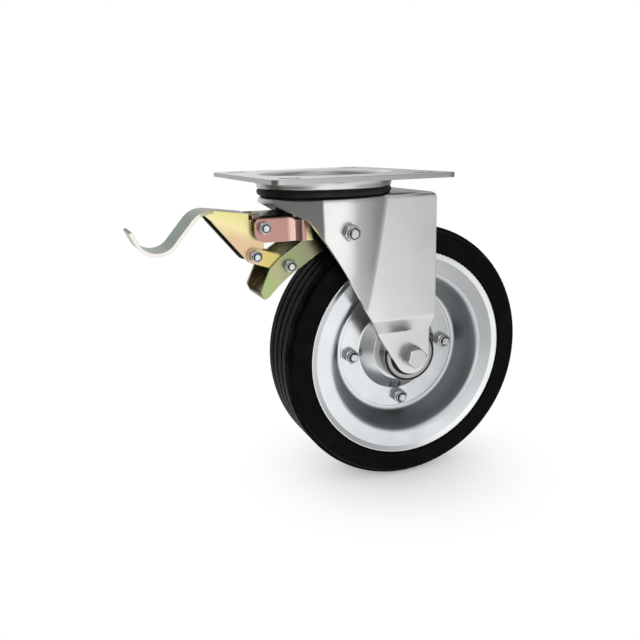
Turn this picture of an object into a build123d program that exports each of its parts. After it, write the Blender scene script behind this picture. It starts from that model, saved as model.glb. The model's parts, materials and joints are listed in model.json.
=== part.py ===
"""Swivel castor with a 250 mm wheel, a pressed fork and a foot brake that locks the wheel.

The frame's origin is the centre of the top plate's upper face, on the swivel axis.
Z is up, X points to the side the wheel trails on, and the axle runs along Y.
Sizes are in millimetres.
"""
import math
import os
from build123d import *

# Overall sizes
wheel_d = 250.0
wheel_width = 60.0
wheel_gap = 27.0
axle_offset = 73.5

# Top plate
plate_x = 160.0
plate_y = 200.0
plate_t = 4.0
plate_corner_r = 8.0
bolt_x = 120.0
bolt_y = 160.0
slot_width = 14.0
slot_length = 20.0

# Swivel head
neck_r = 61.5
neck_depth = 12.8
neck_flare_r = 7.5
press_edge_r = 2.0
head_gap = 6.2
upper_ball_d = 11.0
upper_ring_r = 46.0
upper_ball_count = 20
lower_ball_d = 8.0
lower_ring_r = 27.0
lower_ball_count = 16
ball_play = 0.05
kingpin_r = 10.0
kingpin_head_r = 17.0
kingpin_head_t = 5.0
kingpin_socket_af = 12.0
kingpin_nut_af = 30.0
kingpin_nut_t = 6.5
sleeve_r = 15.0
cup_r = 35.0
cup_t = 3.0
cup_lip = 3.5
seal_play = 0.3

# Fork
fork_t = 4.0
crown_r = 61.7
crown_edge_r = 5.0
front_corner_r = 5.0
leg_half = 47.0
ear_half = 36.0
ear_r = 18.0
facet_dist = 57.0
facet_turn = 135.0
facet_edge_r = 5.0
crease_r = 8.0
crease_lead = 2.5
joggle_top = -134.0
joggle_drop = 15.5
joggle_edge_r = 5.0
bend_margin = 8.0
skirt_corner_x = -31.5
skirt_corner_z = -39.0
lip_depth = 5.8
lip_corner_x = -58.0

# Axle and hub
axle_r = 6.0
axle_head_af = 18.0
axle_head_t = 9.5
axle_nut_t = 12.0
axle_washer_r = 10.6
washer_t = 2.0
axle_sleeve_r = 10.0
hub_r = 27.0
hub_bore_r = 21.0
hub_half = 30.0
bearing_r = 24.2
bearing_w = 14.0
bearing_half = 30.8
ring_wall = 3.5
bearing_ball_d = 8.0
bearing_ball_count = 8
seal_lip_r = 26.6
seal_step = 1.8
shield_r = 23.0
shield_t = 1.0

# Rim and tyre
rim_t = 3.0
rim_r = 101.0
rim_half = 30.0
rim_lip_w = 5.5
rim_lip_drop = 2.2
rim_shoulder_r = 78.5
rim_web_r = 66.0
rim_cone_r = 42.0
rim_collar_half = 13.0
rim_bolt_circle_r = 51.0
rim_bolt_count = 4
rim_bolt_r = 4.0
rim_bolt_af = 13.0
rim_nut_t = 8.5
rim_head_t = 5.3
tyre_base_half = 24.8
tread_half = 24.5
tread_groove_w = 3.4
tread_groove_d = 3.0
tread_groove_step = 12.5
shoulder_r = 121.5
shoulder_groove_w = 2.5

# Brake pivots, as places in X and Z
pedal_pivot = (-67.5, -43.4)
pedal_link_pivot = (-74.4, -68.4)
shoe_link_pivot = (-44.6, -78.7)
shoe_pivot = (-0.5, -48.9)
brake_bolt_r = 3.0
brake_bolt_af = 10.0
brake_nut_t = 7.5
brake_head_t = 4.0
shoe_bolt_r = 4.0
shoe_bolt_af = 13.0
shoe_nut_t = 10.0
shoe_head_t = 5.3
pivot_play = 0.08
side_play = 0.4
link_open_play = 1.7
link_open_shift = 0.45

# Brake sheet parts
brake_t = 3.0
bracket_half = 28.0
bracket_top = -33.5
bracket_low = -56.5
bracket_left = -75.0
bracket_fold_right = -40.0
bracket_deck_right = -30.5
bracket_ear_r = 8.0
bracket_neck_half = 19.5
bracket_slit = 0.6
bracket_right = -24.0
bracket_flare = 5.0
pedal_half = 17.5
blade_half = 20.0
link_half_w = 6.8
shoe_half = 24.5
shoe_boss_r = 9.5
shoe_swing = 18.0
shoe_gap = 3.0
blade_path = [(-178.5, -41.5), (-162.0, -77.0), (-119.3, -27.4), (-77.5, -33.2)]
blade_bend_r = [19.0, 20.0]
spacer_wall = 2.0
rivet_x = -36.3
rivet_y = 20.0
rivet_r = 3.0
rivet_spacer_r = 4.5
rivet_head_r = 3.9
rivet_head_t = 1.8

# Places that follow from the sizes
crown_top = -(neck_depth + head_gap)
crown_low = crown_top - fork_t
axle_z = crown_low - wheel_gap - wheel_d / 2
front_x = axle_offset + ear_r
leg_top = joggle_top + bend_margin
joggle_low = joggle_top - joggle_drop
ear_inner = ear_half - fork_t
arm_inner = bracket_half - brake_t
shoe_inner = shoe_half - brake_t
link_outer = shoe_inner - side_play
link_inner = link_outer - brake_t
pedal_inner = pedal_half - brake_t
bottom_z = axle_z - ear_r - 5.0


def outline(points, radii=0.0):
    """Makes a flat shape from its corner points, each with a rounding or none."""
    return make_face(FilletPolyline(*points, radius=radii, close=True))


def turned_z(points, radii=0.0):
    """Turns a profile, drawn as radius and height, round the swivel axis."""
    return revolve(Plane.XZ * outline(points, radii), Axis.Z)


def turned_y(points, radii=0.0):
    """Turns a profile, drawn as radius and place along the axle, round the axle."""
    return Pos(axle_offset, 0, axle_z) * revolve(outline(points, radii), Axis.Y)


def across(shape, y_a, y_b):
    """Extrudes an outline, drawn in X and Z, between two places along Y."""
    low = min(y_a, y_b)
    high = max(y_a, y_b)
    return extrude(Plane.XZ.offset(-high) * shape, amount=high - low)


def both_sides(solid):
    """Gives a solid and its mirror image on the far side of the wheel's middle plane."""
    return solid + mirror(solid, about=Plane.XZ)


def disc(place, radius):
    """Makes a round outline in X and Z."""
    return Pos(place[0], place[1]) * Circle(radius)


def tube_y(place, outer_r, inner_r, y_a, y_b):
    """Makes a tube along Y."""
    return across(disc(place, outer_r) - disc(place, inner_r), y_a, y_b)


def hexagon(flats):
    """Makes a hexagon from its size across the flats."""
    return RegularPolygon(radius=flats / 2, side_count=6, major_radius=False)


def hex_head(place, flats, y_a, y_b, bore_r=0.0, turn=0.0):
    """Makes a hexagon along Y, its corners cut back at the outer face, bored for a nut."""
    shape = Pos(place[0], place[1]) * Rot(0, 0, turn) * hexagon(flats)
    head = across(shape, y_a, y_b)
    outward = 1 if y_b > y_a else -1
    height = abs(y_b - y_a)
    face_r = flats / 2 * 0.96
    cone = Cone(face_r + height / math.tan(math.radians(30)), face_r, height)
    cone = Pos(place[0], (y_a + y_b) / 2, place[1]) * Rot(-90 * outward, 0, 0) * cone
    head = head & cone
    if bore_r > 0:
        head = head - across(disc(place, bore_r), y_a - outward, y_b + outward)
    return head


def cross_bolt(place, shank_r, flats, head_t, seat_half, end_half):
    """Makes a bolt along Y with its head on the far side and a cut-back tip."""
    shank = across(disc(place, shank_r), -end_half, seat_half)
    tip = shank.edges().filter_by(GeomType.CIRCLE).sort_by(Axis.Y)[0]
    return chamfer(tip, shank_r * 0.22) + hex_head(place, flats, seat_half, seat_half + head_t)


def cross_nut(place, shank_r, flats, nut_t, seat_half, turn=0.0):
    """Makes a self-locking nut on the near side: a hexagon with a round collar."""
    bore_r = shank_r + 0.02
    body = hex_head(place, flats, -seat_half, -seat_half - nut_t * 0.75, bore_r, turn)
    collar_r = flats / 2 * 0.9
    collar = across(disc(place, collar_r), -seat_half - nut_t * 0.7, -seat_half - nut_t)
    collar = fillet(collar.edges().filter_by(GeomType.CIRCLE).sort_by(Axis.Y)[0], collar_r * 0.2)
    recess_r = (bore_r + collar_r) / 2
    collar -= across(disc(place, bore_r), -seat_half, -seat_half - 2 * nut_t)
    collar -= across(disc(place, recess_r), -seat_half - nut_t + 0.8, -seat_half - 2 * nut_t)
    return body + collar


def ball_ring(count, ring_r, ball_r, z):
    """Sets balls round the swivel axis."""
    balls = [Pos(ring_r, 0, z) * Sphere(ball_r)]
    for index in range(1, count):
        balls.append(Rot(0, 0, 360 * index / count) * balls[0])
    return Compound(children=balls)


def ball_groove(ring_r, ball_r, z):
    """Makes the ring that a row of balls sweeps out."""
    groove = Plane.XZ * Pos(ring_r, z) * Circle(ball_r)
    return revolve(groove, Axis.Z)


upper_ball_z = (-neck_depth + crown_top) / 2
lower_ball_z = crown_low - lower_ball_d * 0.4
cup_floor = lower_ball_z - lower_ball_d * 0.4
cup_low = cup_floor - cup_t
kingpin_low = cup_low - kingpin_nut_t - 0.5


def make_top_plate():
    """Plate with slots, drawn down in the middle to a neck that seats the balls."""
    sheet = extrude(RectangleRounded(plate_x, plate_y, plate_corner_r), amount=-plate_t)
    flare_end = neck_r + neck_flare_r + 1
    neck = turned_z(
        [(0, -1), (flare_end, -1), (flare_end, -plate_t), (neck_r, -plate_t),
         (neck_r, -neck_depth), (0, -neck_depth)],
        [0, 0, 0, neck_flare_r, press_edge_r, 0],
    )
    dish_r = neck_r - plate_t
    dish_floor = plate_t - neck_depth
    edge = dish_r + neck_flare_r
    dish = turned_z(
        [(0, 3), (edge, 3), (edge, 0), (dish_r, 0), (dish_r, dish_floor), (0, dish_floor)],
        [0, 0, 0, neck_flare_r - 2, press_edge_r, 0],
    )
    plate = sheet + neck - dish
    plate -= ball_groove(upper_ring_r, upper_ball_d / 2 + ball_play, upper_ball_z)
    plate -= Cylinder(kingpin_r + 0.1, 4 * neck_depth)
    slot = extrude(Plane.XY.offset(1) * SlotOverall(slot_length, slot_width), amount=-2 * plate_t)
    for x in (-bolt_x / 2, bolt_x / 2):
        for y in (-bolt_y / 2, bolt_y / 2):
            plate -= Pos(x, y, 0) * slot
    return plate


def make_kingpin():
    """Pin with a low round head that has a hexagon socket."""
    seat = plate_t - neck_depth
    top = seat + kingpin_head_t
    pin = turned_z(
        [(0, top), (kingpin_head_r, top), (kingpin_head_r, seat), (kingpin_r, seat),
         (kingpin_r, kingpin_low), (0, kingpin_low)],
        [0, 2.0, 0, 0, 1.0, 0],
    )
    socket = extrude(Plane.XY.offset(top) * hexagon(kingpin_socket_af), amount=-3.0)
    return pin - socket


def make_kingpin_sleeve():
    """Distance sleeve between the plate's neck and the lower cup."""
    bore_r = kingpin_r + 0.1
    return turned_z([(bore_r, -neck_depth), (sleeve_r, -neck_depth), (sleeve_r, cup_floor),
                     (bore_r, cup_floor)])


def make_kingpin_nut():
    """Low hexagon nut that clamps the lower cup."""
    body = extrude(Plane.XY.offset(cup_low) * hexagon(kingpin_nut_af), amount=-kingpin_nut_t)
    cone = Pos(0, 0, cup_low - kingpin_nut_t / 2)
    cone = cone * Cone(kingpin_nut_af / 2 * 0.96, kingpin_nut_af / 2 * 1.17, kingpin_nut_t)
    return (body & cone) - Cylinder(kingpin_r + 0.02, 40 * kingpin_nut_t)


def make_lower_race_cup():
    """Pressed cup under the crown that runs the lower balls."""
    bore_r = kingpin_r + 0.1
    cup = turned_z(
        [(bore_r, cup_low), (cup_r, cup_low), (cup_r, cup_floor + cup_lip),
         (cup_r - cup_t, cup_floor + cup_lip), (cup_r - cup_t, cup_floor), (bore_r, cup_floor)],
        [0, 2.5, 0.8, 0.8, 0.6, 0],
    )
    return cup - ball_groove(lower_ring_r, lower_ball_d / 2 + ball_play, lower_ball_z)


def make_swivel_seal():
    """Black ring that closes the gap between neck and crown."""
    low = crown_top + seal_play
    waist = neck_depth + 5.2
    return turned_z(
        [(54.0, -neck_depth), (neck_r - 0.8, -neck_depth), (neck_r + 0.6, -neck_depth - 2.5),
         (neck_r - 0.6, -waist), (neck_r - 2.5, low), (54.0, low)],
        [0, 0.6, 1.6, 1.4, 0.4, 0],
    )


def tangent_to_ear(place):
    """Gives where a line from a place touches the lower left of the ear's round end."""
    dx = axle_offset - place[0]
    dz = axle_z - place[1]
    reach = math.hypot(dx, dz)
    heading = math.atan2(dz, dx) - math.asin(ear_r / reach)
    run = math.sqrt(reach**2 - ear_r**2)
    return (place[0] + run * math.cos(heading), place[1] + run * math.sin(heading))


def fork_side(margin=1.0):
    """Side view of the fork: lip, skirt, slanted leg and round ear."""
    corner = (skirt_corner_x, skirt_corner_z)
    low_left = tangent_to_ear(corner)
    lip_z = crown_top - lip_depth
    far_left = -crown_r - margin
    body = outline(
        [(far_left, crown_top), (front_x, crown_top), (front_x, axle_z),
         (axle_offset, axle_z), low_left, corner, (lip_corner_x, lip_z), (far_left, lip_z)],
        [0, front_corner_r, 0, 0, 0, 6.0, 3.0, 0],
    )
    return body + disc((axle_offset, axle_z), ear_r)


def skirt_x(z):
    """Gives X on the leg's slanted edge at a height."""
    low_left = tangent_to_ear((skirt_corner_x, skirt_corner_z))
    share = (z - skirt_corner_z) / (low_left[1] - skirt_corner_z)
    return skirt_corner_x + share * (low_left[0] - skirt_corner_x)


def head_taper():
    """Gives the round head's radius where the legs turn flat, and how fast it narrows."""
    low_r = math.hypot(skirt_x(leg_top) - crease_lead, leg_half)
    return low_r, (crown_r - low_r) / (crown_top - leg_top)


def fork_block(inset, end_x):
    """Solid head and upper legs: a tapered round, two flat legs and two flat facets."""
    low_r, taper = head_taper()
    height = crown_top - inset - leg_top
    round_head = Cone(low_r - inset, low_r - inset + taper * height, height)
    legs = Pos(end_x / 2, 0, 0) * Box(end_x, 2 * (leg_half - inset), height)
    block = Pos(0, 0, leg_top + height / 2) * (round_head + legs)
    reach = 4 * crown_r
    beyond = Rot(0, math.degrees(math.atan(taper)), 0) * Pos(reach / 2, 0, 0) * Box(reach, reach, reach)
    beyond = Pos(facet_dist - inset, 0, crown_top) * beyond
    for turn in (facet_turn, -facet_turn):
        block -= Rot(0, 0, turn) * beyond
    upright = [edge for edge in block.edges() if edge.bounding_box().size.Z > 0.9 * height]
    curved = [edge for edge in upright if edge.center().X < end_x - 1]
    block = fillet([edge for edge in curved if edge.center().X < 0], facet_edge_r - inset)
    upright = [edge for edge in block.edges() if edge.bounding_box().size.Z > 0.9 * height]
    creases = [edge for edge in upright if 0 < edge.center().X < crown_r]
    block = fillet(creases, crease_r + inset)
    rim = block.faces().sort_by(Axis.Z)[-1].outer_wire().edges()
    rim = [edge for edge in rim if edge.center().X < end_x - 0.1]
    return fillet(rim, crown_edge_r - inset)


def make_fork():
    """One pressed sheet: crown, head wall, two legs, joggles and ears."""
    skin = fork_block(0, front_x) - fork_block(fork_t, front_x + 2 * crown_edge_r)
    half_turn = math.atan2(leg_half - ear_half, joggle_drop) / 2
    shift = fork_t * math.tan(half_turn)
    leg = outline(
        [(leg_half, leg_top), (leg_half, joggle_top), (ear_half, joggle_low),
         (ear_half, bottom_z), (ear_inner, bottom_z), (ear_inner, joggle_low - shift),
         (leg_half - fork_t, joggle_top - shift), (leg_half - fork_t, leg_top)],
        [0, joggle_edge_r, 1.0, 0, 0, joggle_edge_r, 1.0, 0],
    )
    start_x = skirt_x(leg_top)
    leg = extrude(Plane.YZ.offset(start_x) * leg, amount=front_x - start_x)
    side = across(fork_side(), -2 * crown_r, 2 * crown_r)
    fork = (skin + both_sides(leg)) & side
    fork -= ball_groove(upper_ring_r, upper_ball_d / 2 + ball_play, upper_ball_z)
    fork -= ball_groove(lower_ring_r, lower_ball_d / 2 + ball_play, lower_ball_z)
    crown_hole_r = sleeve_r + 4.0
    fork -= Pos(0, 0, crown_low) * Cylinder(crown_hole_r, 4 * fork_t)
    fork -= across(disc((axle_offset, axle_z), axle_r + pivot_play), -leg_half, leg_half)
    fork -= across(disc(shoe_pivot, shoe_bolt_r + pivot_play), -crown_r, crown_r)
    for place in bracket_fixings():
        fork -= Pos(place[0], place[1], crown_low) * Cylinder(rivet_r + 0.05, 4 * fork_t)
    return fork


def bracket_fixings():
    """Gives the two places where the brake bracket is riveted under the crown."""
    return [(rivet_x, -rivet_y), (rivet_x, rivet_y)]


def make_axle_bolt():
    """Hexagon bolt through both ears, its head on the near side."""
    place = (axle_offset, axle_z)
    head_seat = -ear_half - washer_t
    end = ear_half + washer_t + axle_nut_t + 2.5
    shank = across(disc(place, axle_r), head_seat, end)
    tip = shank.edges().filter_by(GeomType.CIRCLE).sort_by(Axis.Y)[-1]
    shank = chamfer(tip, 1.0)
    return shank + hex_head(place, axle_head_af, head_seat, head_seat - axle_head_t, turn=14)


def make_axle_nut():
    """Self-locking nut on the far side of the axle."""
    place = (axle_offset, axle_z)
    seat = ear_half + washer_t
    bore_r = axle_r + 0.02
    body = hex_head(place, axle_head_af, seat, seat + axle_nut_t * 0.75, bore_r)
    return body + tube_y(place, axle_head_af / 2 * 0.88, bore_r, seat, seat + axle_nut_t)


def make_axle_washers():
    """A washer under the head and one under the nut."""
    place = (axle_offset, axle_z)
    return both_sides(tube_y(place, axle_washer_r, axle_r + pivot_play, ear_half, ear_half + washer_t))


def make_axle_sleeve():
    """Tube that the axle bolt clamps between the ears."""
    place = (axle_offset, axle_z)
    return tube_y(place, axle_sleeve_r, axle_r + pivot_play, -ear_inner, ear_inner)


def make_hub_tube():
    """Turned tube with a seat for a ball bearing at each end and a step for its seal."""
    seat_in = bearing_half - bearing_w
    step = hub_half - seal_step
    half = turned_y([(hub_bore_r, 0), (hub_bore_r, seat_in), (bearing_r, seat_in),
                     (bearing_r, step), (seal_lip_r, step), (seal_lip_r, hub_half),
                     (hub_r, hub_half), (hub_r, 0)])
    return both_sides(half)


def bearing_groove():
    """Ring swept by one bearing's balls."""
    ring_r = (bearing_r + axle_sleeve_r) / 2
    groove = Pos(ring_r, bearing_half - bearing_w / 2) * Circle(bearing_ball_d / 2 + ball_play)
    return Pos(axle_offset, 0, axle_z) * revolve(groove, Axis.Y)


def bearing_ring(inner_r, outer_r):
    """One bearing ring at each end of the hub, grooved for its balls and stepped for its shield."""
    inside = bearing_half - bearing_w
    ring = turned_y([(inner_r, inside), (outer_r, inside), (outer_r, bearing_half),
                     (inner_r, bearing_half)])
    step = bearing_half - shield_t
    shield = turned_y([(axle_sleeve_r + 1, step - 0.4), (shield_r, step - 0.4),
                       (shield_r, bearing_half + 1), (axle_sleeve_r + 1, bearing_half + 1)])
    if inner_r > axle_sleeve_r:
        ring -= shield
    return both_sides(ring - bearing_groove())


def make_bearing_balls():
    """Balls of both bearings."""
    ring_r = (bearing_r + axle_sleeve_r) / 2
    middle = bearing_half - bearing_w / 2
    balls = []
    for side in (-1, 1):
        for index in range(bearing_ball_count):
            turn = 2 * math.pi * index / bearing_ball_count
            x = axle_offset + ring_r * math.cos(turn)
            z = axle_z + ring_r * math.sin(turn)
            balls.append(Pos(x, side * middle, z) * Sphere(bearing_ball_d / 2))
    return Compound(children=balls)


def make_hub_seals():
    """Black ring round each bearing and black shield between the bearing's rings."""
    lip_in = bearing_r + seal_play / 2
    step = hub_half - seal_step
    lip = turned_y([(lip_in, step), (seal_lip_r, step), (seal_lip_r, hub_half + 0.3),
                    (lip_in, hub_half + 0.3)])
    shield_in = axle_sleeve_r + ring_wall + seal_play
    step = bearing_half - shield_t
    shield = turned_y([(shield_in, step), (shield_r, step), (shield_r, bearing_half - 0.2),
                       (shield_in, bearing_half - 0.2)])
    return Compound(children=[lip, mirror(lip, about=Plane.XZ), shield, mirror(shield, about=Plane.XZ)])


def rim_profile():
    """Section of one pressed half: collar, cone, web, wall, shoulder and lip."""
    inner_half = rim_half - rim_lip_drop
    lip_start = rim_r - rim_lip_w
    steep = rim_half - rim_lip_drop - rim_t
    slope = (rim_shoulder_r - rim_web_r) / steep
    side = rim_t * (math.sqrt(1 + slope**2) - slope)
    outer = [(hub_r + rim_t, rim_collar_half), (rim_cone_r, rim_t), (rim_web_r, rim_t),
             (rim_shoulder_r, inner_half), (lip_start, inner_half), (rim_r, rim_half)]
    back_lip = (rim_r + 0.8, rim_half - rim_t)
    inner = [back_lip, (lip_start + 1.2, inner_half - rim_t),
             (rim_shoulder_r + side, inner_half - rim_t), (rim_web_r + side, 0),
             (rim_cone_r - 2.5, 0), (hub_r, rim_collar_half - rim_t * 1.3),
             (hub_r, rim_collar_half)]
    radii = [0.6, 2.0, 4.0, 5.0, 1.5, 1.0, 0.6, 1.0, 2.0, 3.0, 1.5, 0.6, 0]
    return outer + inner, radii


def make_rim_far():
    """Far pressed half of the rim."""
    points, radii = rim_profile()
    half = turned_y(points, radii)
    for place in rim_bolt_places():
        half -= across(disc(place, rim_bolt_r + 0.2), 0, 2 * rim_t)
    return half


def rim_bolt_places():
    """Gives the rim bolts' centres in X and Z."""
    places = []
    for index in range(rim_bolt_count):
        turn = 2 * math.pi * index / rim_bolt_count + math.radians(2)
        places.append((axle_offset + rim_bolt_circle_r * math.cos(turn),
                       axle_z + rim_bolt_circle_r * math.sin(turn)))
    return places


def make_rim_bolts():
    """Bolts through both webs, heads on the far side."""
    end = rim_t + rim_nut_t + 2.5
    bolts = [cross_bolt(place, rim_bolt_r, rim_bolt_af, rim_head_t, rim_t, end)
             for place in rim_bolt_places()]
    return Compound(children=bolts)


def make_rim_nuts():
    """Nuts on the near side of the web."""
    nuts = [cross_nut(place, rim_bolt_r, rim_bolt_af, rim_nut_t, rim_t, 20)
            for place in rim_bolt_places()]
    return Compound(children=nuts)


def make_tyre():
    """Solid rubber tyre, its base between the rim's shoulders and ribs round its tread."""
    tyre_r = wheel_d / 2
    half = wheel_width / 2
    seat_r = rim_shoulder_r + 2.0
    profile = outline(
        [(seat_r, -tyre_base_half), (rim_r + 1.2, -tyre_base_half), (rim_r + 1.2, -half),
         (shoulder_r - 1.0, -half), (shoulder_r, -tread_half - shoulder_groove_w),
         (shoulder_r, -tread_half), (tyre_r, -tread_half), (tyre_r, tread_half),
         (shoulder_r, tread_half), (shoulder_r, tread_half + shoulder_groove_w),
         (shoulder_r - 1.0, half), (rim_r + 1.2, half), (rim_r + 1.2, tyre_base_half),
         (seat_r, tyre_base_half)],
        [1.5, 0, 1.0, 2.5, 0, 0.8, 1.5, 1.5, 0.8, 0, 2.5, 1.0, 0, 1.5],
    )
    for step in (-1, 0, 1):
        groove = Pos(tyre_r, step * tread_groove_step)
        profile -= groove * RectangleRounded(2 * tread_groove_d, tread_groove_w, 0.8)
    return Pos(axle_offset, 0, axle_z) * revolve(profile, Axis.Y)


def make_brake_bracket():
    """Pressed channel under the crown whose flared arms hold the pedal between round ears."""
    length = bracket_fold_right - bracket_left
    middle = (bracket_fold_right + bracket_left) / 2
    height = bracket_top - bracket_low
    block = Pos(middle, 0, bracket_top - height / 2) * Box(length, 2 * bracket_half, height)
    folds = block.edges().filter_by(Axis.X).group_by(Axis.Z)[-1]
    block = fillet(folds, brake_t + 1.0)
    hollow = Box(2 * length, 2 * arm_inner, height)
    hollow = Pos(middle, 0, bracket_top - brake_t - height / 2) * hollow
    inner_folds = hollow.edges().filter_by(Axis.X).group_by(Axis.Z)[-1]
    channel = block - fillet(inner_folds, 1.0)
    tongue_half = arm_inner - bracket_slit
    tongue = Box(bracket_deck_right - middle, 2 * tongue_half, brake_t)
    tongue = Pos((bracket_deck_right + middle) / 2, 0, bracket_top - brake_t / 2) * tongue
    tongue = fillet(tongue.edges().filter_by(Axis.Z).group_by(Axis.X)[-1], 6.0)
    outer_y = bracket_half + bracket_flare
    bend_x = bracket_fold_right + 6.5
    arm = outline(
        [(bracket_fold_right - 1, bracket_half), (bracket_fold_right + 1, bracket_half),
         (bend_x, outer_y), (bracket_right, outer_y), (bracket_right, outer_y - brake_t),
         (bend_x + 1.4, outer_y - brake_t), (bracket_fold_right + 2.2, arm_inner),
         (bracket_fold_right - 1, arm_inner)],
        [0, 1.5, 3.0, 0, 0, 1.0, 3.0, 0],
    )
    arm_top = bracket_top - brake_t - 1.5
    arm = extrude(Plane.XY.offset(bracket_low) * arm, amount=arm_top - bracket_low)
    bracket = channel + tongue + both_sides(arm)
    slope_top = (bracket_right - 5.0, bracket_top)
    ear = outline(
        [(bracket_left, bracket_top), slope_top, (bracket_right, bracket_low),
         (bracket_left, bracket_low)],
        [bracket_ear_r, 0, 0, bracket_ear_r + 1.0],
    )
    square = outline([(bracket_left, bracket_top), slope_top, (bracket_right, bracket_low),
                      (bracket_left, bracket_low)])
    kept = across(ear, -2 * bracket_half, 2 * bracket_half)
    kept += across(square, -bracket_neck_half, bracket_neck_half)
    bracket &= kept
    bracket -= across(disc(pedal_pivot, brake_bolt_r + pivot_play), -2 * bracket_half, 2 * bracket_half)
    for place in bracket_fixings():
        bracket -= Pos(place[0], place[1], bracket_top) * Cylinder(rivet_r + 0.05, 4 * brake_t)
    return bracket


def make_bracket_spacers():
    """Two distance tubes between the bracket's deck and the crown."""
    height = crown_low - bracket_top
    tube = Cylinder(rivet_spacer_r, height) - Cylinder(rivet_r + 0.1, height)
    tubes = [Pos(x, y, bracket_top + height / 2) * tube for x, y in bracket_fixings()]
    return Compound(children=tubes)


def make_bracket_rivets():
    """Two rivets, flush in the crown's ball track, closed under the bracket's deck."""
    low = bracket_top - brake_t
    height = crown_top - low
    shank = Pos(0, 0, low + height / 2) * Cylinder(rivet_r, height)
    head = Pos(0, 0, low - rivet_head_t / 2) * Cylinder(rivet_head_r, rivet_head_t)
    head = fillet(head.edges().group_by(Axis.Z)[0], rivet_head_t / 2)
    track = ball_groove(upper_ring_r, upper_ball_d / 2 + ball_play, upper_ball_z)
    rivets = [Pos(x, y, 0) * (shank + head) - track for x, y in bracket_fixings()]
    return Compound(children=rivets)


def hull_of(circles, corners=()):
    """Makes the outline stretched round some circles and corner points, in X and Z."""
    edges = [edge for place, radius in circles for edge in disc(place, radius).edges()]
    for corner in corners:
        edges += disc(corner, 0.5).edges()
    return make_hull(edges)


def make_brake_pedal():
    """Channel on the pedal pivot that runs out into a long curved blade."""
    path = FilletPolyline(*blade_path, radius=blade_bend_r)
    blade = across(trace(path, brake_t), -blade_half, blade_half)
    waist_x = -108.0
    plan = outline(
        [(-190, -blade_half), (waist_x - 12, -blade_half), (waist_x, -pedal_half),
         (blade_path[-1][0] + 0.2, -pedal_half), (blade_path[-1][0] + 0.2, pedal_half),
         (waist_x, pedal_half), (waist_x - 12, blade_half), (-190, blade_half)],
        [9.0, 6.0, 6.0, 0, 0, 6.0, 6.0, 9.0],
    )
    blade &= extrude(Plane.XY.offset(-100) * plan, amount=90)
    cheek = hull_of([(pedal_pivot, 6.2), (pedal_link_pivot, 7.5)], [(-109.0, -37.4)])
    upper = outline([(-116.0, -31.0), (-107.0, -29.3), (blade_path[-1][0], -33.2),
                     (blade_path[-1][0], -42.0), (-104.0, -42.0)])
    cheek = across(cheek + upper, pedal_inner, pedal_half)
    pedal = blade + both_sides(cheek)
    pedal -= across(disc(pedal_pivot, brake_bolt_r + pivot_play), -blade_half, blade_half)
    return pedal - across(disc(pedal_link_pivot, brake_bolt_r + pivot_play), -blade_half, blade_half)


def make_link_far():
    """Flat link from the pedal to the shoe, with a long hole at the shoe's end."""
    link = hull_of([(pedal_link_pivot, link_half_w), (shoe_link_pivot, link_half_w)])
    link -= disc(pedal_link_pivot, brake_bolt_r + pivot_play)
    dx = shoe_link_pivot[0] - pedal_link_pivot[0]
    dz = shoe_link_pivot[1] - pedal_link_pivot[1]
    slot = Rot(0, 0, math.degrees(math.atan2(dz, dx))) * Pos(link_open_shift, 0)
    slot = slot * SlotOverall(2 * (brake_bolt_r + link_open_play), 2 * (brake_bolt_r + 0.6))
    link -= Pos(*shoe_link_pivot) * slot
    return across(link, link_inner, link_outer)


def turned_back(place, centre, degrees):
    """Turns a place in X and Z clockwise about a centre."""
    a = -math.radians(degrees)
    dx = place[0] - centre[0]
    dz = place[1] - centre[1]
    return (centre[0] + dx * math.cos(a) - dz * math.sin(a),
            centre[1] + dx * math.sin(a) + dz * math.cos(a))


def make_brake_shoe():
    """Channel whose web fits the tread when it swings in by its full travel."""
    centre = turned_back((axle_offset, axle_z), shoe_pivot, shoe_swing)
    web_r = wheel_d / 2 + shoe_gap

    def on_web(degrees, radius):
        turn = math.radians(degrees)
        return (centre[0] + radius * math.cos(turn), centre[1] + radius * math.sin(turn))

    tail = 137.5
    heel = 120.0
    web_end = 127.0

    def web_arc(end, radius):
        return ThreePointArc(on_web(tail, radius), on_web((tail + end) / 2, radius), on_web(end, radius))

    arc = web_arc(heel, web_r)
    boss_low = (shoe_pivot[0] + 6.5, shoe_pivot[1] - 6.8)
    boss_top = (shoe_pivot[0] - 5.5, shoe_pivot[1] + 7.7)
    back = [on_web(turn, web_r + height) for turn, height in ((123.5, 18.6), (129.6, 17.1), (138.2, 8.8), (139.7, 1.8))]
    rest = Polyline(on_web(heel, web_r), boss_low, boss_top, *back, on_web(tail, web_r))
    plate = make_face([arc] + list(rest.edges())) + disc(shoe_pivot, shoe_boss_r)
    plate -= disc(shoe_pivot, shoe_bolt_r + pivot_play)
    plate -= disc(shoe_link_pivot, brake_bolt_r + 0.02)
    sides = both_sides(across(plate, shoe_inner, shoe_half))
    band = make_face([
        web_arc(web_end, web_r),
        Line(on_web(web_end, web_r), on_web(web_end, web_r + brake_t)),
        web_arc(web_end, web_r + brake_t),
        Polyline(on_web(tail, web_r + brake_t), on_web(139.1, web_r + 4.6), on_web(139.7, web_r + 1.8),
                 on_web(tail, web_r)),
    ])
    return sides + across(band, -shoe_inner - 0.5, shoe_inner + 0.5)


def make_shoe_pivot_bolt():
    """Long bolt through the fork's head that the shoe turns on."""
    seat = crown_wall_half()
    return cross_bolt(shoe_pivot, shoe_bolt_r, shoe_bolt_af, shoe_head_t, seat,
                      seat + shoe_nut_t + 1.5)


def crown_wall_half():
    """Half the fork's width where the shoe's bolt comes through, with room for its curve."""
    taper = head_taper()[1]
    return crown_r - taper * (crown_top - shoe_pivot[1] - shoe_bolt_af / 2) + 0.1


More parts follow.
